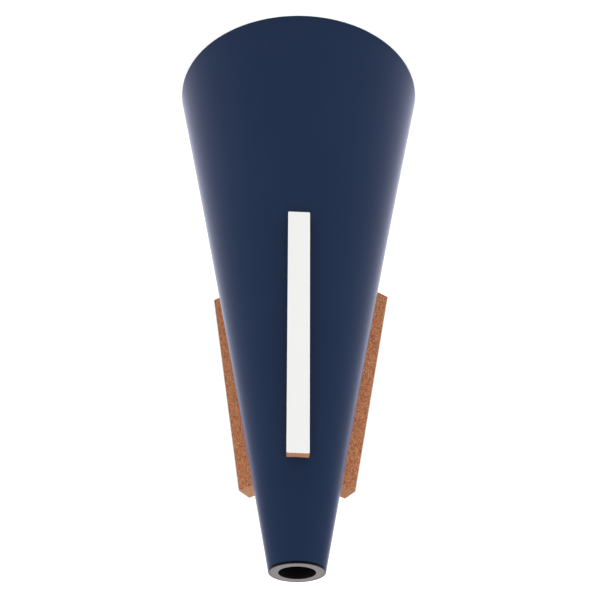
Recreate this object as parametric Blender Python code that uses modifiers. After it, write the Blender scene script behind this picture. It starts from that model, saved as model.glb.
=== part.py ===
"""Tuba straight mute: a lacquered hard-fibre cone with a thick ring in its neck and a disc let into its
wide end, and three felt-faced cork blocks that hold it in the bell. It stands on its wide rim, with the
origin at the rim's centre, +Z along the axis to the neck and the front block at -Y. Metres throughout."""

import math

import bmesh
import bpy

# Driving dimensions. A station is a distance down the axis from the neck's face.
LENGTH = 0.600
NECK_RADIUS = 0.02785
RIM_RADIUS = 0.1442
WALL_SAG = 0.00155  # how far the wall lies inside a straight cone at mid length, which flares the rim
WALL = 0.003
GAP = 0.0003  # clearance between glued neighbours

EDGE_RADIUS = 0.0008
EDGE_STEPS = 3
WALL_SPANS = 14
TURN_STEPS = 72

NECK_BORE_RADIUS = 0.0179
NECK_RING_DEPTH = 0.045
NECK_RING_SPANS = 3

DISC_RECESS = 0.006
DISC_THICKNESS = 0.004
HOOP_HEIGHT = 0.014
HOOP_THICKNESS = 0.006

BLOCK_WIDTH = 0.0226
FACING_THICKNESS = 0.0012
CUTTER_OVERSHOOT = 0.010

# Each cork block was fitted by hand: its bearing about the axis from +X, then the station and the cork's
# height over the cone at the outer corner of its neck end and of its rim end.
BLOCKS = {
    "front": (-90.5, (0.0968, 0.0157), (0.3500, 0.0128)),
    "left": (152.5, (0.0912, 0.0155), (0.3409, 0.0176)),
    "right": (27.9, (0.0921, 0.0162), (0.3340, 0.0113)),
}

# Base colour (linear), roughness
NAVY_LACQUER = ((0.018, 0.030, 0.070, 1.0), 0.45)
GREY_FIBRE = ((0.24, 0.22, 0.22, 1.0), 0.60)
PLYWOOD = ((0.48, 0.33, 0.19, 1.0), 0.70)
CORK = ((0.36, 0.16, 0.085, 1.0), 0.85)
WHITE_FELT = ((0.88, 0.88, 0.87, 1.0), 0.95)


def cone_radius(station):
    """The cone's outer radius at a station: a straight taper drawn in by a shallow parabola."""
    share = station / LENGTH
    straight = NECK_RADIUS + (RIM_RADIUS - NECK_RADIUS) * share
    return straight - 4 * WALL_SAG * share * (1 - share)


def outer_radius(height):
    return cone_radius(LENGTH - height)


def inner_radius(height):
    return outer_radius(height) - WALL


def clear_collections():
    for obj in list(bpy.data.objects):
        bpy.data.objects.remove(obj, do_unlink=True)
    parts = bpy.data.collections.new("tuba_straight_mute")
    cutters = bpy.data.collections.new("cutters")
    bpy.context.scene.collection.children.link(parts)
    bpy.context.scene.collection.children.link(cutters)
    return parts, cutters


def material(name, finish):
    colour, roughness = finish
    made = bpy.data.materials.new(name)
    made.use_nodes = True
    shader = made.node_tree.nodes["Principled BSDF"]
    shader.inputs["Base Color"].default_value = colour
    shader.inputs["Roughness"].default_value = roughness
    shader.inputs["Metallic"].default_value = 0.0
    made.diffuse_color = colour
    return made


def spaced(start, end, spans):
    return [start + (end - start) * i / spans for i in range(spans + 1)]


def corner(x, z, quarter, radius=EDGE_RADIUS):
    """The points of a rounded corner at (x, z), for a profile that runs clockwise seen from -Y. Quarter 0
    turns from the top face to the outer wall, 1 on to the bottom face, 2 to the inner wall, 3 to the top."""
    side = 1 if quarter in (0, 1) else -1
    end = 1 if quarter in (0, 3) else -1
    centre_x = x - side * radius
    centre_z = z - end * radius
    start = math.pi / 2 * (1 - quarter)
    angles = spaced(start, start - math.pi / 2, EDGE_STEPS)
    return [(centre_x + radius * math.cos(a), centre_z + radius * math.sin(a)) for a in angles]


def turned(name, profile, collection, steps=TURN_STEPS):
    """A solid of revolution about Z, from a (radius, height) profile that runs down its outer side. It
    closes on itself, or else starts and ends on the axis."""
    mesh = bpy.data.meshes.new(name)
    edges = [(i, i + 1) for i in range(len(profile) - 1)]
    if profile[0][0] > 0.0:
        edges.append((len(profile) - 1, 0))
    mesh.from_pydata([(x, 0.0, z) for x, z in profile], edges, [])
    obj = bpy.data.objects.new(name, mesh)
    collection.objects.link(obj)
    screw = obj.modifiers.new("Turn", "SCREW")
    screw.axis = "Z"
    screw.angle = 2 * math.pi
    screw.steps = steps
    screw.render_steps = steps
    screw.use_merge_vertices = True
    screw.merge_threshold = 0.00001
    screw.use_smooth_shade = True
    return obj


def wall_heights(top, bottom, spans):
    return spaced(top, bottom, spans)[1:-1]


def cone_shell(collection):
    """The wound cone, open at both ends."""
    heights = wall_heights(LENGTH, 0.0, WALL_SPANS)
    profile = corner(outer_radius(LENGTH), LENGTH, 0)
    profile += [(outer_radius(z), z) for z in heights]
    profile += corner(outer_radius(0.0), 0.0, 1)
    profile += corner(inner_radius(0.0), 0.0, 2)
    profile += [(inner_radius(z), z) for z in reversed(heights)]
    profile += corner(inner_radius(LENGTH), LENGTH, 3, radius=EDGE_RADIUS / 4)
    return turned("cone_shell", profile, collection)


def neck_ring(collection):
    """The thick ring glued inside the neck, its outside tapered to the cone's inner wall."""
    bottom = LENGTH - NECK_RING_DEPTH
    top_outer = inner_radius(LENGTH) - GAP
    bottom_outer = inner_radius(bottom) - GAP
    heights = wall_heights(LENGTH, bottom, NECK_RING_SPANS)
    profile = corner(top_outer, LENGTH, 0, radius=EDGE_RADIUS / 4)
    profile += [(inner_radius(z) - GAP, z) for z in heights]
    profile += [(bottom_outer, bottom), (NECK_BORE_RADIUS, bottom)]
    profile += corner(NECK_BORE_RADIUS, LENGTH, 3)
    return turned("neck_ring", profile, collection)


def base_disc(collection):
    """The disc that closes the wide end, pushed into the taper from below and sitting inside the rim."""
    bottom = DISC_RECESS
    top = DISC_RECESS + DISC_THICKNESS
    profile = [
        (0.0, top),
        (inner_radius(top) - GAP, top),
        (inner_radius(bottom) - GAP, bottom),
        (0.0, bottom),
    ]
    return turned("base_disc", profile, collection)


def base_hoop(collection):
    """The bent hoop glued round the inside of the cone, which the disc is glued against."""
    bottom = DISC_RECESS + DISC_THICKNESS + GAP
    top = bottom + HOOP_HEIGHT
    profile = [
        (inner_radius(top) - GAP, top),
        (inner_radius(bottom) - GAP, bottom),
        (inner_radius(bottom) - GAP - HOOP_THICKNESS, bottom),
        (inner_radius(top) - GAP - HOOP_THICKNESS, top),
    ]
    return turned("base_hoop", profile, collection)


def cone_cutter(collection):
    """The cone grown by the glue gap, which gives each cork block its hollowed seat."""
    heights = spaced(LENGTH, 0.0, WALL_SPANS)
    profile = [(0.0, LENGTH)]
    profile += [(outer_radius(z) + GAP, z) for z in heights]
    profile += [(0.0, 0.0)]
    cutter = turned("cone_cutter", profile, collection)
    cutter.hide_render = True
    cutter.display_type = "WIRE"
    return cutter


def slab(name, collection, length, thickness, corners, lift):
    """A box whose outer face lies over the two (radius, height) corners, lift beyond the line that joins
    them, with its ends square to that line. Its origin is at the middle of the outer face."""
    bearing, neck_corner, rim_corner = corners
    tilt = math.atan2(rim_corner[0] - neck_corner[0], neck_corner[1] - rim_corner[1])
    radius = (neck_corner[0] + rim_corner[0]) / 2 + lift * math.cos(tilt)
    height = (neck_corner[1] + rim_corner[1]) / 2 + lift * math.sin(tilt)
    cage = bmesh.new()
    bmesh.ops.create_cube(cage, size=1.0)
    bmesh.ops.scale(cage, vec=(thickness, BLOCK_WIDTH, length), verts=cage.verts)
    bmesh.ops.translate(cage, vec=(-thickness / 2, 0.0, 0.0), verts=cage.verts)
    mesh = bpy.data.meshes.new(name)
    cage.to_mesh(mesh)
    cage.free()
    obj = bpy.data.objects.new(name, mesh)
    collection.objects.link(obj)
    turn = math.radians(bearing)
    obj.location = (radius * math.cos(turn), radius * math.sin(turn), height)
    obj.rotation_euler = (0.0, -tilt, turn)
    return obj


def block_corners(place):
    bearing, *ends = place
    return (bearing, *[(cone_radius(station) + rise, LENGTH - station) for station, rise in ends])


def cork_block(side, place, cutter, collection):
    """A rough block of cork that reaches into the cone, hollowed underneath to sit on it."""
    corners = block_corners(place)
    depth = max(rise for _, rise in place[1:]) + CUTTER_OVERSHOOT
    block = slab("cork_" + side, collection, math.dist(*corners[1:]), depth, corners, 0.0)
    seat = block.modifiers.new("Seat", "BOOLEAN")
    seat.operation = "DIFFERENCE"
    seat.solver = "EXACT"
    seat.object = cutter
    return block


def felt_facing(side, place, collection):
    """The thin felt glued over the cork's whole outer face, which bears on the bell."""
    corners = block_corners(place)
    lift = GAP + FACING_THICKNESS
    return slab("felt_" + side, collection, math.dist(*corners[1:]), FACING_THICKNESS, corners, lift)


def main():
    parts, cutters = clear_collections()
    fibre = [cone_shell(parts), neck_ring(parts), base_disc(parts), base_hoop(parts)]
    finishes = [NAVY_LACQUER, GREY_FIBRE, NAVY_LACQUER, PLYWOOD]
    cutter = cone_cutter(cutters)
    corks = [cork_block(side, place, cutter, parts) for side, place in BLOCKS.items()]
    felts = [felt_facing(side, place, parts) for side, place in BLOCKS.items()]
    finishes += [CORK] * len(corks) + [WHITE_FELT] * len(felts)
    for obj, finish in zip(fibre + corks + felts, finishes):
        obj.data.materials.append(material(obj.name + "_finish", finish))


main()
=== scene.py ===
import math

import bmesh
import bpy
from mathutils import Matrix, Vector


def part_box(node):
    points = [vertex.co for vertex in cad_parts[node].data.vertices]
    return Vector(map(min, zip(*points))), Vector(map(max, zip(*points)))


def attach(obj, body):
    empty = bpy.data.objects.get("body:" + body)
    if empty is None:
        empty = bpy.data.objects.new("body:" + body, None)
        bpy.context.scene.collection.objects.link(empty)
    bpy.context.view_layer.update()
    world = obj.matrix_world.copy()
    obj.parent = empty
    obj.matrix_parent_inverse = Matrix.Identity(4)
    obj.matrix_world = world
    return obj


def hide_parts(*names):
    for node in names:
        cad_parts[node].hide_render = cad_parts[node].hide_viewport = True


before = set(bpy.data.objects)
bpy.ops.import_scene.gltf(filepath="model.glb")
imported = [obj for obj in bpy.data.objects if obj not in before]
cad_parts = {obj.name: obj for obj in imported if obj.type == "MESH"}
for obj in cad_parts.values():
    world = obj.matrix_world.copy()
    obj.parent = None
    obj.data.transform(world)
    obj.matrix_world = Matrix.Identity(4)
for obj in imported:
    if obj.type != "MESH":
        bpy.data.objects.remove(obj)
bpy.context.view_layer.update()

# The body: fibre sheet wound round a mandrel into a hollow cone with 3 mm walls, filled smooth and sprayed
# with a satin navy lacquer. Both ends are sawn square to the axis; at the neck the cut is left bare, so the
# grey edges of the wound layers show there, inside a thin line of black sealer round the corner.
body_low, body_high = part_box("cone_shell")
BODY_LENGTH = body_high.z - body_low.z
BODY_RIM_RADIUS = body_high.x
BODY_NECK_RADIUS = 0.02785
BODY_SAG = 0.00155
BODY_WALL = 0.003
BODY_UNEVENNESS = 0.00008
BODY_SPANS = 60
BODY_TURNS = 240
BODY_EDGE_BREAK = 0.0006
CORNER_TURN = 0.9  # radians between two faces, past which the edge between them is a corner
SMOOTH_TURN = math.radians(50)
WELD = 0.000001
NAVY = (0.0146, 0.0282, 0.0662, 1.0)
NAVY_DEEPER = (0.0132, 0.0261, 0.0616, 1.0)
NAVY_HAZE = (0.58, 0.59, 0.93, 1.0)
HAZE_WEIGHT = 0.61
HAZE_SHINE = 0.018
FIBRE_GREY = (0.106, 0.095, 0.098, 1.0)
FIBRE_PALE = (0.222, 0.199, 0.205, 1.0)
FIBRE_LAYER = 0.0027
FIBRE_WANDER = 0.0005
SEALED_BLACK = (0.0035, 0.0032, 0.0036, 1.0)
SEALED_BAND = 0.0021
SEALED_WANDER = 0.0007
SPILL_RADIUS = 0.0273
SPILL_SHIFT = 0.0013


def set_inputs(tree, node, inputs):
    """Sets a node's inputs, or links those whose value is another node's output."""
    for name, value in inputs.items():
        if isinstance(value, bpy.types.NodeSocket):
            tree.links.new(value, node.inputs[name])
        else:
            node.inputs[name].default_value = value


def joined(tree, kind, inputs=None, **settings):
    """A new node with its settings made and its inputs set."""
    made = tree.nodes.new(kind)
    for name, value in settings.items():
        setattr(made, name, value)
    set_inputs(tree, made, inputs or {})
    return made


def sum_of(tree, operation, *values):
    """The output of a Math node over one, two or three numbers or outputs."""
    return joined(tree, "ShaderNodeMath", dict(enumerate(values)), operation=operation).outputs[0]


def vector_of(tree, operation, *values):
    """The vector output of a Vector Math node. A number or a number's output scales the first vector."""
    places = (0, 3) if operation == "SCALE" else range(len(values))
    return joined(tree, "ShaderNodeVectorMath", dict(zip(places, values)), operation=operation).outputs[0]


def vector_from(tree, *parts):
    return joined(tree, "ShaderNodeCombineXYZ", dict(enumerate(parts))).outputs[0]


def parts_of(tree, vector):
    """The outputs of a vector's X, Y and Z."""
    return joined(tree, "ShaderNodeSeparateXYZ", {0: vector}).outputs


def length_of(tree, vector):
    return joined(tree, "ShaderNodeVectorMath", {0: vector}, operation="LENGTH").outputs["Value"]


def new_material(name):
    """A material with its node tree and its Principled shader."""
    made = bpy.data.materials.new(name)
    made.use_nodes = True
    return made, made.node_tree, made.node_tree.nodes["Principled BSDF"]


def object_place(tree):
    """Where a point lies on its piece, for a material."""
    return joined(tree, "ShaderNodeTexCoord").outputs["Object"]


def noise(tree, vector, scale, detail=3.0, roughness=0.5):
    inputs = {"Vector": vector, "Scale": scale, "Detail": detail, "Roughness": roughness}
    return joined(tree, "ShaderNodeTexNoise", inputs).outputs["Fac"]


def mixed(tree, factor, first, second):
    """The colour between two others."""
    return joined(tree, "ShaderNodeMix", {0: factor, 6: first, 7: second}, data_type="RGBA").outputs[2]


def ranged(tree, value, low, high, to_low, to_high):
    inputs = {"Value": value, "From Min": low, "From Max": high, "To Min": to_low, "To Max": to_high}
    return joined(tree, "ShaderNodeMapRange", inputs).outputs[0]


def bumped(tree, height, strength, distance):
    """The normals of a surface raised by a height map."""
    inputs = {"Height": height, "Strength": strength, "Distance": distance}
    return joined(tree, "ShaderNodeBump", inputs).outputs[0]


def navy_lacquer():
    """Sprayed satin lacquer: one navy that drifts a little in depth, with a fine orange peel and a bluish
    haze at a glance. It stops just short of the neck's corner, where the black sealer shows."""
    made, tree, shader = new_material("navy_lacquer")
    place = object_place(tree)
    drift = noise(tree, place, 9.0, detail=2.0)
    navy = mixed(tree, ranged(tree, drift, 0.35, 0.65, 0.0, 1.0), NAVY, NAVY_DEEPER)
    height = parts_of(tree, place)[2]
    wander = sum_of(tree, "MULTIPLY", noise(tree, place, 120.0), SEALED_WANDER)
    line = BODY_LENGTH - SEALED_BAND
    sealed = ranged(tree, sum_of(tree, "ADD", height, wander), line, line + SEALED_WANDER, 0.0, 1.0)
    satin = noise(tree, place, 55.0, detail=4.0, roughness=0.6)
    peel = noise(tree, place, 650.0, detail=2.0)
    set_inputs(tree, shader, {
        "Base Color": mixed(tree, sealed, navy, SEALED_BLACK),
        "Roughness": ranged(tree, satin, 0.3, 0.7, 0.12, 0.18),
        "Normal": bumped(tree, peel, 0.25, 0.00004),
        "Specular IOR Level": HAZE_SHINE, "Sheen Weight": HAZE_WEIGHT,
        "Sheen Roughness": 0.35, "Sheen Tint": NAVY_HAZE})
    return made


def from_axis(tree, place, shift=0.0):
    """The distance of a place from the body's axis, or from a line shifted from it to the back."""
    beside = vector_of(tree, "ADD", place, (0.0, -shift, 0.0))
    return length_of(tree, vector_of(tree, "MULTIPLY", beside, (1.0, 1.0, 0.0)))


def wound_fibre():
    """The sawn edge of the wound layers: rings round the axis, a little uneven, in warm greys, palest at the
    glued joint of the cone and the collar. Black sealer has run over the front of the corner."""
    made, tree, shader = new_material("wound_fibre")
    place = object_place(tree)
    wander = sum_of(tree, "MULTIPLY", noise(tree, place, 90.0), FIBRE_WANDER)
    joint = BODY_NECK_RADIUS - BODY_WALL + FIBRE_WANDER / 4
    outward = sum_of(tree, "SUBTRACT", sum_of(tree, "ADD", from_axis(tree, place), wander), joint)
    layer = sum_of(tree, "COSINE", sum_of(tree, "MULTIPLY", outward, 2 * math.pi / FIBRE_LAYER))
    rings = ranged(tree, layer, -1.0, 1.0, 0.0, 1.0)
    fleck = noise(tree, place, 900.0, detail=5.0, roughness=0.7)
    tone = sum_of(tree, "ADD", sum_of(tree, "MULTIPLY", rings, 0.7), sum_of(tree, "MULTIPLY", fleck, 0.3))
    ragged = sum_of(tree, "MULTIPLY", noise(tree, place, 300.0), SEALED_WANDER)
    edge = sum_of(tree, "ADD", from_axis(tree, place, SPILL_SHIFT), ragged)
    spill = ranged(tree, edge, SPILL_RADIUS, SPILL_RADIUS + SEALED_WANDER, 0.0, 1.0)
    set_inputs(tree, shader, {
        "Base Color": mixed(tree, spill, mixed(tree, tone, FIBRE_GREY, FIBRE_PALE), SEALED_BLACK),
        "Normal": bumped(tree, tone, 0.5, 0.0002), "Roughness": 0.62, "Specular IOR Level": 0.3})
    return made


def geometry_tree(name, **inputs):
    """A geometry tree with named inputs of each kind, and the outputs that hand them to its nodes."""
    tree = bpy.data.node_groups.new(name, "GeometryNodeTree")
    for kind, names in inputs.items():
        for label in names:
            tree.interface.new_socket(name=label, in_out="INPUT", socket_type="NodeSocket" + kind)
    tree.interface.new_socket(name="Geometry", in_out="OUTPUT", socket_type="NodeSocketGeometry")
    return tree, tree.nodes.new("NodeGroupInput").outputs


def own_place(tree):
    """Where a point lies, for a geometry tree."""
    return tree.nodes.new("GeometryNodeInputPosition").outputs[0]


def worked(tree, geometry, kind, inputs=None, **settings):
    """The geometry once one more node has worked on it."""
    inputs = {"Geometry": geometry, **(inputs or {})}
    return joined(tree, "GeometryNode" + kind, inputs, **settings).outputs[0]


def handed_out(tree, geometry):
    """The tree, which now gives this geometry out."""
    tree.links.new(geometry, tree.nodes.new("NodeGroupOutput").inputs[0])
    return tree


def wound_cone_tree():
    """Both walls and both end faces of the cone as one grid, rolled round the axis and closed. Its rows run
    down the outer wall from the neck, across the rim, up the inner wall and across the neck. Every corner is
    marked for easing but the one where the collar meets the wall."""
    tree, given = geometry_tree(
        "wound_cone", Float=("Length", "Neck Radius", "Rim Radius", "Sag", "Wall", "Unevenness"),
        Int=("Spans", "Turns"), Material=("Lacquer", "Bare Fibre"))
    last_row = sum_of(tree, "MULTIPLY_ADD", given["Spans"], 2.0, 2.0)
    grid = joined(tree, "GeometryNodeMeshGrid", {
        "Size X": 1.0, "Size Y": 1.0, "Vertices X": sum_of(tree, "ADD", last_row, 1.0),
        "Vertices Y": sum_of(tree, "ADD", given["Turns"], 1.0)})
    flat = parts_of(tree, own_place(tree))
    row = sum_of(tree, "ROUND", sum_of(tree, "MULTIPLY", sum_of(tree, "ADD", flat[0], 0.5), last_row))
    rows_up = sum_of(tree, "SUBTRACT", sum_of(tree, "SUBTRACT", last_row, 1.0), row)
    nearer = sum_of(tree, "MAXIMUM", sum_of(tree, "MINIMUM", row, rows_up), 0.0)
    share = sum_of(tree, "DIVIDE", nearer, given["Spans"])
    inside = sum_of(tree, "MULTIPLY", sum_of(tree, "GREATER_THAN", row, given["Spans"]),
                    sum_of(tree, "GREATER_THAN", sum_of(tree, "SUBTRACT", last_row, 0.5), row))
    widening = sum_of(tree, "SUBTRACT", given["Rim Radius"], given["Neck Radius"])
    straight = sum_of(tree, "MULTIPLY_ADD", share, widening, given["Neck Radius"])
    hollow = sum_of(tree, "MULTIPLY", share, sum_of(tree, "SUBTRACT", 1.0, share))
    hollow = sum_of(tree, "MULTIPLY", hollow, sum_of(tree, "MULTIPLY", given["Sag"], 4.0))
    radius = sum_of(tree, "SUBTRACT", straight, hollow)
    radius = sum_of(tree, "SUBTRACT", radius, sum_of(tree, "MULTIPLY", given["Wall"], inside))
    angle = sum_of(tree, "MULTIPLY", sum_of(tree, "ADD", flat[1], 0.5), 2 * math.pi)
    across, along = sum_of(tree, "COSINE", angle), sum_of(tree, "SINE", angle)
    round_place = vector_from(tree, across, along, sum_of(tree, "MULTIPLY", share, 6.0))
    dents = noise(tree, round_place, 1.2, detail=1.0)
    radius = sum_of(tree, "SUBTRACT", radius, sum_of(tree, "MULTIPLY", given["Unevenness"], dents))
    height = sum_of(tree, "MULTIPLY", given["Length"], sum_of(tree, "SUBTRACT", 1.0, share))
    place = vector_from(tree, sum_of(tree, "MULTIPLY", radius, across),
                        sum_of(tree, "MULTIPLY", radius, along), height)
    geometry = worked(tree, grid.outputs["Mesh"], "SetPosition", {"Position": place})
    geometry = worked(tree, geometry, "MergeByDistance", {"Distance": WELD})
    geometry = worked(tree, geometry, "SetShadeSmooth")
    geometry = worked(tree, geometry, "RealizeInstances")
    geometry = worked(tree, geometry, "SetMaterial", {"Material": given["Lacquer"]})
    stands = own_place(tree)
    at_neck = sum_of(tree, "GREATER_THAN", parts_of(tree, stands)[2],
                     sum_of(tree, "SUBTRACT", given["Length"], 10 * WELD))
    geometry = worked(tree, geometry, "SetMaterial", {"Selection": at_neck, "Material": given["Bare Fibre"]})
    turn = tree.nodes.new("GeometryNodeInputMeshEdgeAngle").outputs["Unsigned Angle"]
    joint = sum_of(tree, "MULTIPLY_ADD", given["Wall"], -0.5, given["Neck Radius"])
    corner = sum_of(tree, "MULTIPLY", sum_of(tree, "GREATER_THAN", turn, CORNER_TURN),
                    sum_of(tree, "GREATER_THAN", from_axis(tree, stands), joint))
    geometry = worked(tree, geometry, "StoreNamedAttribute", {"Name": "bevel_weight_edge", "Value": corner},
                      data_type="FLOAT", domain="EDGE")
    return handed_out(tree, geometry)


def made_by(tree, name, sizes):
    """The object that a geometry tree makes with these inputs, as a plain mesh with no modifier."""
    made = bpy.data.objects.new(name, bpy.data.meshes.new(name))
    bpy.context.scene.collection.objects.link(made)
    modifier = made.modifiers.new(tree.name, "NODES")
    modifier.node_group = tree
    for item in tree.interface.items_tree:
        if item.in_out == "INPUT" and item.name in sizes:
            modifier[item.identifier] = sizes[item.name]
    graph = bpy.context.evaluated_depsgraph_get()
    mesh = bpy.data.meshes.new_from_object(
        made.evaluated_get(graph), preserve_all_data_layers=True, depsgraph=graph)
    if mesh.materials[0] is None:  # the empty slot that comes before the tree's own materials
        mesh.materials.pop(index=0)
    made.modifiers.clear()
    made.data = mesh
    return made


def ease_edges(piece, width, steps, limit):
    """Rounds the marked or the sharp edges of a piece, and keeps its large faces flat in the light."""
    bevel = piece.modifiers.new("Eased Edges", "BEVEL")
    bevel.width = width
    bevel.segments = steps
    bevel.limit_method = limit
    bevel.angle_limit = SMOOTH_TURN
    bevel.material = 0
    bevel.harden_normals = True


lacquer = navy_lacquer()
bare_fibre = wound_fibre()
body = made_by(wound_cone_tree(), "body_cone", {
    "Length": BODY_LENGTH, "Neck Radius": BODY_NECK_RADIUS, "Rim Radius": BODY_RIM_RADIUS,
    "Sag": BODY_SAG, "Wall": BODY_WALL, "Unevenness": BODY_UNEVENNESS,
    "Spans": BODY_SPANS, "Turns": BODY_TURNS, "Lacquer": lacquer, "Bare Fibre": bare_fibre})
ease_edges(body, BODY_EDGE_BREAK, 4, "WEIGHT")
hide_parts("cone_shell")
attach(body, "root")


def body_radius(height):
    """The cone's outer radius at a height over its rim."""
    share = 1 - height / BODY_LENGTH
    straight = BODY_NECK_RADIUS + (BODY_RIM_RADIUS - BODY_NECK_RADIUS) * share
    return straight - 4 * BODY_SAG * share * (1 - share)


def inner_radius(height):
    return body_radius(height) - BODY_WALL


# The neck ring: a thick collar of the same wound fibre, turned to the cone's inner taper and glued in flush
# with its end. Its face is bare like the cone's, and its bore is sealed black.
RING_BORE = 0.0179
RING_DEPTH = 0.045
RING_FIT = 0.0001
RING_EASING = 0.0009
RING_TURNS = 180


def eased(section, easings, steps=4):
    """A section with its corners rounded, each by its own easing, where 0 leaves it sharp."""
    rounded = []
    for number, (corner, easing) in enumerate(zip(section, easings)):
        here = Vector(corner)
        before = (Vector(section[number - 1]) - here).normalized() * easing
        after = (Vector(section[(number + 1) % len(section)]) - here).normalized() * easing
        for step in range(steps + 1 if easing else 1):
            share = step / steps
            rounded.append(tuple(here + before * (1 - share) ** 2 + after * share ** 2))
    return rounded


def turned(name, section, turns, materials):
    """A piece turned about the axis from a closed section of (radius, height) points, or from an open one
    that starts and ends on the axis."""
    shape = bmesh.new()
    points = [shape.verts.new((radius, 0.0, height)) for radius, height in section]
    pairs = list(zip(points, points[1:]))
    if section[0][0] > 0.0:
        pairs.append((points[-1], points[0]))
    edges = [shape.edges.new(pair) for pair in pairs]
    bmesh.ops.spin(shape, geom=points + edges, cent=(0, 0, 0), axis=(0, 0, 1), angle=2 * math.pi, steps=turns)
    bmesh.ops.remove_doubles(shape, verts=shape.verts, dist=WELD)
    bmesh.ops.recalc_face_normals(shape, faces=shape.faces)
    mesh = bpy.data.meshes.new(name)
    shape.to_mesh(mesh)
    shape.free()
    mesh.shade_smooth()
    mesh.set_sharp_from_angle(angle=SMOOTH_TURN)
    for material in materials:
        mesh.materials.append(material)
    made = bpy.data.objects.new(name, mesh)
    bpy.context.scene.collection.objects.link(made)
    flat_faces = made.modifiers.new("Flat Faces", "WEIGHTED_NORMAL")
    flat_faces.keep_sharp = True
    return made


def black_sealer():
    """Thin black sealer over fibre, satin, with the fibre's grain just showing through."""
    made, tree, shader = new_material("black_sealer")
    grain = noise(tree, object_place(tree), 400.0, detail=4.0)
    set_inputs(tree, shader, {
        "Base Color": SEALED_BLACK, "Roughness": ranged(tree, grain, 0.3, 0.7, 0.42, 0.6),
        "Normal": bumped(tree, grain, 0.4, 0.0001), "Specular IOR Level": 0.12})
    return made


ring_bottom = BODY_LENGTH - RING_DEPTH
ring_section = [
    (inner_radius(BODY_LENGTH) - RING_FIT, BODY_LENGTH),
    (inner_radius(ring_bottom) - RING_FIT, ring_bottom),
    (RING_BORE, ring_bottom),
    (RING_BORE, BODY_LENGTH),
]
ring = turned("neck_collar", eased(ring_section, (0, 0, RING_EASING, RING_EASING)), RING_TURNS,
              [black_sealer(), bare_fibre])
for face in ring.data.polygons:
    face.material_index = int(face.normal.z > 0.95)
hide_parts("neck_ring")
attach(ring, "root")

# The base: a disc of fibreboard let into the rim from below, its edge cut to the cone's taper and sprayed
# with the body. A fillet of glue runs round the joint under the lacquer.
base_low, base_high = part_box("base_disc")
DISC_FIT = 0.00005
FILLET = 0.0018
FILLET_STEPS = 6
disc_section = [
    (0.0, base_high.z),
    (inner_radius(base_high.z) - DISC_FIT, base_high.z),
    (inner_radius(base_low.z) - DISC_FIT, base_low.z),
    (0.0, base_low.z),
]
disc = turned("closing_disc", disc_section, BODY_TURNS, [lacquer])
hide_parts("base_disc")
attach(disc, "root")

fillet_corner = inner_radius(base_low.z)
fillet_curve = []
for step in range(FILLET_STEPS + 1):
    angle = math.pi / 2 * step / FILLET_STEPS
    in_from, down_from = FILLET * (1 - math.sin(angle)), FILLET * (1 - math.cos(angle))
    fillet_curve.append((fillet_corner - in_from, base_low.z - down_from))
fillet = turned("glue_fillet", fillet_curve + [(fillet_corner, base_low.z)], BODY_TURNS, [lacquer])
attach(fillet, "root")

# The hoop: a strip of plywood bent into a ring and glued round the inside of the cone. The disc is glued
# against it. It only shows through the neck.
hoop_low, hoop_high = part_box("base_hoop")
HOOP_THICKNESS = 0.006
HOOP_PLY = 0.0015
HOOP_EASING = 0.001
PLY_PALE = (0.520, 0.360, 0.205, 1.0)
PLY_DARK = (0.380, 0.235, 0.120, 1.0)


def bent_plywood():
    """Birch plywood: veneers a millimetre and a half thick round the axis, and a fine grain along them."""
    made, tree, shader = new_material("bent_plywood")
    place = object_place(tree)
    veneer = sum_of(tree, "SINE", sum_of(tree, "MULTIPLY", from_axis(tree, place), math.pi / HOOP_PLY))
    stretched = joined(tree, "ShaderNodeMapping", {"Vector": place, "Scale": (60.0, 60.0, 900.0)})
    grain = noise(tree, stretched.outputs[0], 1.0, detail=5.0)
    tone = sum_of(tree, "MULTIPLY_ADD", veneer, 0.2, grain)
    set_inputs(tree, shader, {"Base Color": mixed(tree, tone, PLY_DARK, PLY_PALE), "Roughness": 0.7})
    return made


hoop_section = [
    (inner_radius(hoop_high.z) - DISC_FIT, hoop_high.z),
    (inner_radius(hoop_low.z) - DISC_FIT, hoop_low.z),
    (inner_radius(hoop_low.z) - HOOP_THICKNESS, hoop_low.z),
    (inner_radius(hoop_high.z) - HOOP_THICKNESS, hoop_high.z),
]
hoop = turned("glue_hoop", eased(hoop_section, (0, 0, 0, HOOP_EASING)), RING_TURNS, [bent_plywood()])
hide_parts("base_hoop")
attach(hoop, "root")

# The cork blocks: three strips sawn from pressed cork, hollowed underneath to the cone and glued on, then
# filed by hand until they seat in the bell, so no two have quite the same height, length or bearing.
BLOCK_WIDTH = 0.0226
BLOCK_TAPER = 0.0004
# Bearing about the axis from +X, then how far down from the neck and how high over the body the outer face
# starts at its neck end and stops at its rim end
BLOCKS = {
    "front": (-90.5, (0.0968, 0.0157), (0.3500, 0.0128)),
    "left": (152.5, (0.0912, 0.0155), (0.3409, 0.0176)),
    "right": (27.9, (0.0921, 0.0162), (0.3340, 0.0113)),
}
BLOCK_SKEW = {"front": -0.035, "left": 0.0, "right": 0.0}
BLOCK_CORNER = 0.0008
END_SAWN_AND_LIT = {"front": 0.55, "left": 0.3, "right": 0.7}  # how much paler the cut ends are painted: partly paler cut cork, partly painted light on the ends
ON_FACE = 0.4999  # from here out, a point of the unit cube lies on its face
CORK_CELL = 0.0008
CORK_LAYERS = 22
CORK_SEAT = 0.00005
CORK_PIT = 0.0004
CORK_FILING = 0.0002
CORK_REACH = 0.1
CORK_ORANGE = (0.485, 0.178, 0.074, 1.0)
CORK_TAN = (0.620, 0.300, 0.140, 1.0)
CORK_RED = (0.285, 0.080, 0.040, 1.0)
CORK_DARK = (0.110, 0.040, 0.024, 1.0)
# the colour the ends are painted towards: partly paler cut cork, partly painted light
CORK_SAWN_AND_LIT = (0.668, 0.345, 0.182, 1.0)


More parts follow.
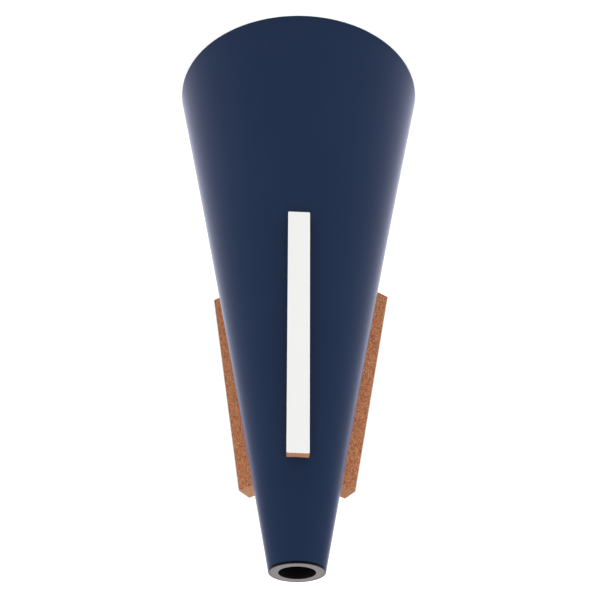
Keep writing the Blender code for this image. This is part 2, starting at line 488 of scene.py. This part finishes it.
def block_place(block):
    """Where the outer face of a cork block lies: its length, its middle, and the directions out of it,
    across it and along it to the neck."""
    bearing, neck_end, rim_end = block
    corners = [(body_radius(BODY_LENGTH - station) + rise, BODY_LENGTH - station)
               for station, rise in (neck_end, rim_end)]
    run_in, run_up = corners[1][0] - corners[0][0], corners[0][1] - corners[1][1]
    length = math.hypot(run_in, run_up)
    lean = math.atan2(run_in, run_up)
    turn = Matrix.Rotation(math.radians(bearing), 3, "Z")
    middle = Vector(((corners[0][0] + corners[1][0]) / 2, 0.0, (corners[0][1] + corners[1][1]) / 2))
    return {
        "Length": length,
        "Middle": turn @ middle,
        "Out": turn @ Vector((math.cos(lean), 0.0, math.sin(lean))),
        "Across": turn @ Vector((0.0, 1.0, 0.0)),
        "Along": turn @ Vector((-math.sin(lean), 0.0, math.cos(lean))),
    }


def kept(tree, geometry, name, value, kind="FLOAT"):
    """The geometry with a value stored on its points, for the material to read."""
    return worked(tree, geometry, "StoreNamedAttribute", {"Name": name, "Value": value},
                  data_type=kind, domain="POINT")


def strip_place(tree, unit, given):
    """How far across and along a strip a point of the unit cube lies. The strip tapers to the neck, its
    corners are worn round and its ends are cut a little skew."""
    width = sum_of(tree, "MULTIPLY_ADD", sum_of(tree, "MULTIPLY", unit[2], -1.0), given["Taper"],
                   given["Width"])
    flat = vector_from(tree, sum_of(tree, "MULTIPLY", unit[1], width),
                       sum_of(tree, "MULTIPLY", unit[2], given["Length"]))
    spare = sum_of(tree, "MULTIPLY", given["Corner"], -2.0)
    inner = vector_from(tree, sum_of(tree, "ADD", width, spare),
                        sum_of(tree, "ADD", given["Length"], spare))
    half = vector_of(tree, "SCALE", inner, 0.5)
    held = vector_of(tree, "MAXIMUM", vector_of(tree, "MINIMUM", flat, half),
                     vector_of(tree, "SCALE", half, -1.0))
    beyond = vector_of(tree, "SUBTRACT", flat, held)
    reach = sum_of(tree, "MAXIMUM", length_of(tree, beyond), given["Corner"])
    share = sum_of(tree, "DIVIDE", given["Corner"], reach)
    worn = vector_of(tree, "ADD", held, vector_of(tree, "SCALE", beyond, share))
    across, along = parts_of(tree, worn)[:2]
    return across, sum_of(tree, "MULTIPLY_ADD", across, given["Skew"], along)


def cork_block_tree():
    """A fine block whose outer face lies flat and whose underside is dropped on to the body. Its sides and
    ends are filed a little uneven and have the pits of the cork."""
    tree, given = geometry_tree(
        "cork_block", Float=("Length", "Width", "Taper", "Skew", "Corner", "Cell", "Seat", "Reach", "Pit",
                             "Filing", "Sawn", "Seed"),
        Vector=("Middle", "Out", "Across", "Along"), Int=("Layers",), Object=("Body",),
        Material=("Cork",))
    cube = joined(tree, "GeometryNodeMeshCube", {
        "Size": (1.0, 1.0, 1.0), "Vertices X": given["Layers"],
        "Vertices Y": sum_of(tree, "DIVIDE", given["Width"], given["Cell"]),
        "Vertices Z": sum_of(tree, "DIVIDE", given["Length"], given["Cell"])})
    unit = parts_of(tree, own_place(tree))
    across, along = strip_place(tree, unit, given)
    outer = vector_of(tree, "ADD", given["Middle"], vector_of(tree, "SCALE", given["Across"], across))
    outer = vector_of(tree, "ADD", outer, vector_of(tree, "SCALE", given["Along"], along))
    body_shape = joined(tree, "GeometryNodeObjectInfo", {"Object": given["Body"]})
    inward = vector_of(tree, "SCALE", given["Out"], -1.0)
    drop = joined(tree, "GeometryNodeRaycast", {
        "Target Geometry": body_shape.outputs["Geometry"], "Source Position": outer,
        "Ray Direction": inward, "Ray Length": given["Reach"]})
    depth = sum_of(tree, "MULTIPLY", sum_of(tree, "SUBTRACT", 0.5, unit[0]),
                   sum_of(tree, "ADD", drop.outputs["Hit Distance"], given["Seat"]))
    place = vector_of(tree, "ADD", outer, vector_of(tree, "SCALE", inward, depth))
    grain = vector_from(tree, depth, across, sum_of(tree, "ADD", along, given["Seed"]))
    pores = noise(tree, vector_of(tree, "MULTIPLY", grain, (560.0, 560.0, 300.0)), 1.0, detail=2.0)
    pit = ranged(tree, pores, 0.63, 0.72, 0.0, 1.0)
    filed = noise(tree, grain, 90.0, detail=2.0)
    cut = sum_of(tree, "MULTIPLY_ADD", pit, given["Pit"], sum_of(tree, "MULTIPLY", filed, given["Filing"]))
    at_side, at_end = (sum_of(tree, "GREATER_THAN", sum_of(tree, "ABSOLUTE", part), ON_FACE)
                       for part in (unit[1], unit[2]))
    for direction, part, here in (("Across", unit[1], at_side), ("Along", unit[2], at_end)):
        outward = sum_of(tree, "MULTIPLY", sum_of(tree, "SIGN", part), here)
        back = sum_of(tree, "MULTIPLY", sum_of(tree, "MULTIPLY", outward, cut), -1.0)
        place = vector_of(tree, "ADD", place, vector_of(tree, "SCALE", given[direction], back))
    geometry = kept(tree, cube.outputs["Mesh"], "cork_grain", grain, "FLOAT_VECTOR")
    geometry = kept(tree, geometry, "cork_pit", pit)
    # how far each end is painted lighter: partly paler cut cork, partly painted light
    geometry = kept(tree, geometry, "cork_end", sum_of(tree, "MULTIPLY", at_end, given["Sawn"]))
    geometry = worked(tree, geometry, "SetPosition", {"Position": place})
    geometry = worked(tree, geometry, "SetShadeSmooth")
    turn = joined(tree, "GeometryNodeInputMeshEdgeAngle").outputs["Unsigned Angle"]
    geometry = worked(tree, geometry, "SetShadeSmooth", {
        "Selection": sum_of(tree, "GREATER_THAN", turn, CORNER_TURN), "Shade Smooth": False}, domain="EDGE")
    geometry = worked(tree, geometry, "RealizeInstances")
    return handed_out(tree, worked(tree, geometry, "SetMaterial", {"Material": given["Cork"]}))


def attribute(tree, name, output="Fac"):
    return joined(tree, "ShaderNodeAttribute", attribute_name=name).outputs[output]


def pressed_cork():
    """Cork granules pressed together: each has its own tone between red, orange and tan, streaks run along
    the block, and pores and seams between the granules are dark. The ends are painted lighter, partly
    as fresher cut cork and partly as painted light falling on them."""
    made, tree, shader = new_material("pressed_cork")
    grain = attribute(tree, "cork_grain", "Vector")
    ragged = joined(tree, "ShaderNodeTexNoise", {"Vector": grain, "Scale": 700.0, "Detail": 3.0})
    laid = vector_of(tree, "ADD", vector_of(tree, "MULTIPLY", grain, (900.0, 900.0, 620.0)),
                     vector_of(tree, "SCALE", ragged.outputs["Color"], 1.1))
    granule = joined(tree, "ShaderNodeTexVoronoi", {"Vector": laid, "Scale": 1.0, "Randomness": 1.0})
    outline = joined(tree, "ShaderNodeTexVoronoi", {"Vector": laid, "Scale": 1.0, "Randomness": 1.0},
                     feature="DISTANCE_TO_EDGE")
    seam = ranged(tree, outline.outputs["Distance"], 0.0, 0.09, 0.4, 0.0)
    tones = joined(tree, "ShaderNodeSeparateColor", {0: granule.outputs["Color"]})
    colour = mixed(tree, ranged(tree, tones.outputs[0], 0.0, 0.45, 0.0, 1.0), CORK_RED, CORK_ORANGE)
    colour = mixed(tree, ranged(tree, tones.outputs[1], 0.55, 1.0, 0.0, 1.0), colour, CORK_TAN)
    streaks = noise(tree, vector_of(tree, "MULTIPLY", grain, (900.0, 900.0, 110.0)), 1.0, detail=2.0)
    streak = ranged(tree, streaks, 0.5, 0.75, 0.0, 0.6)
    colour = mixed(tree, streak, colour, CORK_RED)
    # the ends painted lighter: partly paler cut cork, partly painted light on the ends
    colour = mixed(tree, attribute(tree, "cork_end"), colour, CORK_SAWN_AND_LIT)
    speck = ranged(tree, noise(tree, grain, 1100.0, detail=3.0, roughness=0.6), 0.58, 0.70, 0.0, 0.7)
    pit = sum_of(tree, "MULTIPLY", attribute(tree, "cork_pit"), 0.8)
    dark = sum_of(tree, "MAXIMUM", seam, sum_of(tree, "MAXIMUM", speck, pit))
    colour = mixed(tree, dark, colour, CORK_DARK)
    rough = noise(tree, grain, 2200.0, detail=4.0, roughness=0.7)
    set_inputs(tree, shader, {
        "Base Color": colour, "Normal": bumped(tree, sum_of(tree, "SUBTRACT", rough, dark), 0.6, 0.0002),
        "Roughness": 0.85, "Specular IOR Level": 0.25})
    return made


block_tree = cork_block_tree()
cork = pressed_cork()
blocks = {}
for number, (side, block) in enumerate(BLOCKS.items()):
    blocks[side] = made_by(block_tree, "cork_block_" + side, {
        **block_place(block), "Width": BLOCK_WIDTH, "Taper": BLOCK_TAPER, "Skew": BLOCK_SKEW[side],
        "Corner": BLOCK_CORNER, "Cell": CORK_CELL, "Layers": CORK_LAYERS, "Seat": CORK_SEAT,
        "Reach": CORK_REACH, "Pit": CORK_PIT, "Filing": CORK_FILING, "Sawn": END_SAWN_AND_LIT[side],
        "Seed": float(number), "Body": body, "Cork": cork})
    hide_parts("cork_" + side)
    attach(blocks[side], "root")

# The felt facings: thin white wool felt cut to each block and glued over its whole outer face, where it
# bears on the bell. The cut edges are a little soft and not quite straight.
FELT_THICKNESS = 0.0015
FELT_STEP = 0.0011
FELT_WANDER = 0.0002
FELT_SINK = 0.0002
FELT_EDGE = 0.0004
FELT_SHORT = 0.0002
FELT_WHITE = (0.880, 0.880, 0.870, 1.0)
FELT_SHADE = (0.800, 0.795, 0.780, 1.0)
FELT_FIBRES = (
    ((0.3, 0.5, 0.2), (4000.0, 500.0, 1500.0)),
    ((1.1, 0.2, 0.9), (500.0, 3500.0, 900.0)),
)


def felt_strip_tree():
    """A thin strip over a block's outer face, its surface and its cut edges a little uneven."""
    tree, given = geometry_tree(
        "felt_strip", Float=("Length", "Width", "Taper", "Skew", "Corner", "Thickness", "Sink", "Step",
                             "Wander", "Seed"),
        Vector=("Middle", "Out", "Across", "Along"), Material=("Felt",))
    cube = joined(tree, "GeometryNodeMeshCube", {
        "Size": (1.0, 1.0, 1.0), "Vertices X": 2,
        "Vertices Y": sum_of(tree, "DIVIDE", given["Width"], given["Step"]),
        "Vertices Z": sum_of(tree, "DIVIDE", given["Length"], given["Step"])})
    unit = parts_of(tree, own_place(tree))
    raised = sum_of(tree, "ADD", unit[0], 0.5)
    out = sum_of(tree, "MULTIPLY", raised, sum_of(tree, "ADD", given["Thickness"], given["Sink"]))
    out = sum_of(tree, "SUBTRACT", out, given["Sink"])
    across, along = strip_place(tree, unit, given)
    cloth = vector_from(tree, 0.0, across, sum_of(tree, "ADD", along, given["Seed"]))
    waves = joined(tree, "ShaderNodeTexNoise", {"Vector": cloth, "Scale": 60.0, "Detail": 1.0})
    drift = parts_of(tree, vector_of(tree, "SCALE", waves.outputs["Color"], given["Wander"]))
    place = given["Middle"]
    reaches = {"Out": (out, raised), "Across": (across, unit[1]), "Along": (along, unit[2])}
    for number, (direction, (reach, part)) in enumerate(reaches.items()):
        wandered = sum_of(tree, "SUBTRACT", reach, sum_of(tree, "MULTIPLY", drift[number], part))
        place = vector_of(tree, "ADD", place, vector_of(tree, "SCALE", given[direction], wandered))
    geometry = worked(tree, cube.outputs["Mesh"], "SetPosition", {"Position": place})
    geometry = worked(tree, geometry, "SetShadeSmooth")
    geometry = worked(tree, geometry, "RealizeInstances")
    return handed_out(tree, worked(tree, geometry, "SetMaterial", {"Material": given["Felt"]}))


def wool_felt():
    """White pressed wool: matted fibres in every direction, a soft surface and a slight sheen."""
    made, tree, shader = new_material("wool_felt")
    place = object_place(tree)
    cloud = noise(tree, place, 240.0, detail=4.0, roughness=0.65)
    matted = []
    for turn, stretch in FELT_FIBRES:
        laid = joined(tree, "ShaderNodeMapping", {"Vector": place, "Rotation": turn, "Scale": stretch})
        matted.append(noise(tree, laid.outputs[0], 1.0))
    set_inputs(tree, shader, {
        "Base Color": mixed(tree, ranged(tree, cloud, 0.62, 0.85, 0.0, 0.6), FELT_WHITE, FELT_SHADE),
        "Normal": bumped(tree, sum_of(tree, "MAXIMUM", *matted), 0.5, 0.0002), "Roughness": 0.95,
        "Specular IOR Level": 0.15, "Sheen Weight": 0.1, "Sheen Roughness": 0.6})
    return made


strip_tree = felt_strip_tree()
felt = wool_felt()
for number, (side, block) in enumerate(BLOCKS.items()):
    place = block_place(block)
    facing = made_by(strip_tree, "felt_facing_" + side, {
        **place, "Length": place["Length"] - FELT_SHORT, "Width": BLOCK_WIDTH, "Taper": BLOCK_TAPER,
        "Skew": BLOCK_SKEW[side], "Corner": BLOCK_CORNER, "Thickness": FELT_THICKNESS,
        "Sink": FELT_SINK, "Step": FELT_STEP, "Wander": FELT_WANDER, "Seed": float(number), "Felt": felt})
    ease_edges(facing, FELT_EDGE, 4, "ANGLE")
    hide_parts("felt_" + side)
    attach(facing, "root")

# The studio: a plain white floor in even white surroundings and three soft boxes. The camera looks down on
# the neck as in the photograph, whose picture is turned over, so that the wide end is at its top.
FLOOR_HALF = 25.0
FLOOR_WHITE = 0.80
FLOOR_LIFT = 0.38
SKY_LEVEL = 0.90
SOFT_BOXES = (
    ((2.4, -0.3, 1.6), 1.8, 22.0),
    ((-2.4, -0.3, 1.6), 1.8, 22.0),
    ((0.0, 2.1, 2.0), 1.8, 14.0),
)
AIM = Vector((0.0, 0.0, 0.3))
CAMERA_PLACE = Vector((0.0, -1.0576, 0.9622))
CAMERA_PITCH = math.radians(32.423)
CAMERA_TILT = 0.0031
CAMERA_YAW = 0.0018
LENS = 68.12
SENSOR = 36.0


def seen_ray(tree):
    """1 for what the camera sees, by itself, mirrored or through glass, and 0 for what lights the object."""
    path = joined(tree, "ShaderNodeLightPath").outputs
    mirrored = sum_of(tree, "MAXIMUM", path["Is Glossy Ray"], path["Is Transmission Ray"])
    return sum_of(tree, "MAXIMUM", path["Is Camera Ray"], mirrored)


def white_floor():
    made, tree, shader = new_material("floor_white")
    set_inputs(tree, shader, {
        "Base Color": (FLOOR_WHITE, FLOOR_WHITE, FLOOR_WHITE, 1.0), "Roughness": 1.0,
        "Specular IOR Level": 0.0, "Emission Color": (1.0, 1.0, 1.0, 1.0),
        "Emission Strength": sum_of(tree, "MULTIPLY", seen_ray(tree), FLOOR_LIFT)})
    return made


def white_surroundings():
    world = bpy.data.worlds.new("surroundings")
    world.use_nodes = True
    tree = world.node_tree
    set_inputs(tree, tree.nodes["Background"], {
        "Color": (1.0, 1.0, 1.0, 1.0),
        "Strength": ranged(tree, seen_ray(tree), 0.0, 1.0, SKY_LEVEL, 1.0)})
    bpy.context.scene.world = world


floor_mesh = bpy.data.meshes.new("floor")
corners = ((-1, -1), (1, -1), (1, 1), (-1, 1))
floor_mesh.from_pydata([(x * FLOOR_HALF, y * FLOOR_HALF, 0.0) for x, y in corners], [], [(0, 1, 2, 3)])
floor_mesh.materials.append(white_floor())
floor = bpy.data.objects.new("floor", floor_mesh)
bpy.context.scene.collection.objects.link(floor)
white_surroundings()
for number, (stand, width, power) in enumerate(SOFT_BOXES):
    lamp = bpy.data.lights.new("soft_box_%d" % number, "AREA")
    lamp.size = width
    lamp.energy = power
    box = bpy.data.objects.new(lamp.name, lamp)
    box.location = stand
    box.rotation_mode = "QUATERNION"
    box.rotation_quaternion = (AIM - Vector(stand)).to_track_quat("-Z", "Y")
    bpy.context.scene.collection.objects.link(box)

camera = bpy.data.objects.new("camera", bpy.data.cameras.new("camera"))
camera.data.lens = LENS
camera.data.sensor_width = SENSOR
ahead = Vector((0.0, math.cos(CAMERA_PITCH), -math.sin(CAMERA_PITCH)))
right = Vector((-1.0, 0.0, 0.0))
right = right * math.cos(CAMERA_TILT) + right.cross(ahead) * math.sin(CAMERA_TILT)
ahead = ahead * math.cos(CAMERA_YAW) + right * math.sin(CAMERA_YAW)
up = right.cross(ahead).normalized()
right = ahead.cross(up)
turned_over = Matrix((right, up, -ahead)).transposed().to_4x4()
camera.matrix_world = Matrix.Translation(CAMERA_PLACE) @ turned_over
bpy.context.scene.collection.objects.link(camera)
bpy.context.scene.camera = camera
bpy.context.scene.view_settings.view_transform = "Standard"
